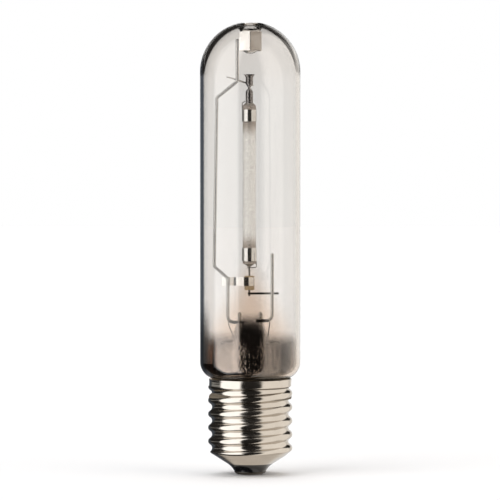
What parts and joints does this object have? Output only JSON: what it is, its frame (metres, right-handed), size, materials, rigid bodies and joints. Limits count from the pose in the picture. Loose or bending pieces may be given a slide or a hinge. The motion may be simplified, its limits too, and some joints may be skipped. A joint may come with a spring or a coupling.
{
  "type": "high-pressure sodium grow lamp",
  "caption": "Clear tubular glass discharge lamp with a ceramic arc tube on a bent wire frame inside and a large screw cap below.",
  "frame": {"origin": "centre of the end contact's flat face, on the lamp's axis", "axes": "+Z along the lamp's axis from the cap to the dome; -Y is the front, on which the frame wires are welded to the lead-in rods; +X is the support post's side"},
  "size_m": [0.0465, 0.0464, 0.2094],
  "materials": {
    "bulb_glass": "clear drawn borosilicate glass",
    "stem_glass": "clear lead glass, pressed hot",
    "nickel_wire": "drawn nickel-plated wire",
    "nickel_strip": "bright nickel strip",
    "copper_lead": "tinned copper wire",
    "alumina": "translucent sintered alumina",
    "niobium": "drawn niobium",
    "frit": "fused sealing glass",
    "tungsten": "drawn tungsten",
    "amalgam": "sodium amalgam",
    "bush_ceramic": "fired steatite",
    "getter_steel": "pressed nickel-iron channel",
    "cap_nickel": "nickel-plated brass sheet",
    "vitrite": "black moulded glass",
    "contact_nickel": "nickel-plated brass disc",
    "solder": "soft solder",
    "cement": "cured basing cement"
  },
  "bodies": {
    "root": {"outer_bulb": "bulb_glass", "stem_glass": "stem_glass", "exhaust_tube": "stem_glass", "lead_in_left": "nickel_wire", "lead_in_right": "nickel_wire", "outer_lead_side": "copper_lead", "outer_lead_centre": "copper_lead", "frame_wire": "nickel_wire", "support_post": "nickel_wire", "dimple_strap": "nickel_strip", "upper_cross_wire": "nickel_wire", "lower_cross_wire": "nickel_wire", "guide_strap": "nickel_strip", "guide_bush": "bush_ceramic", "arc_tube": "alumina", "upper_end_plug": "alumina", "lower_end_plug": "alumina", "upper_electrode": "tungsten", "lower_electrode": "tungsten", "upper_frit_seal": "frit", "lower_frit_seal": "frit", "niobium_tube": "niobium", "niobium_lead": "niobium", "upper_heat_band": "nickel_strip", "lower_heat_band": "nickel_strip", "upper_band_tail": "nickel_wire", "lower_band_tail": "nickel_wire", "amalgam_dose": "amalgam", "getter_ring": "getter_steel", "getter_support_left": "nickel_wire", "getter_support_right": "nickel_wire", "cap_shell": "cap_nickel", "cap_insulator": "vitrite", "centre_contact": "contact_nickel", "centre_solder": "solder", "side_solder": "solder", "cap_cement": "cement"}
  },
  "joints": []
}
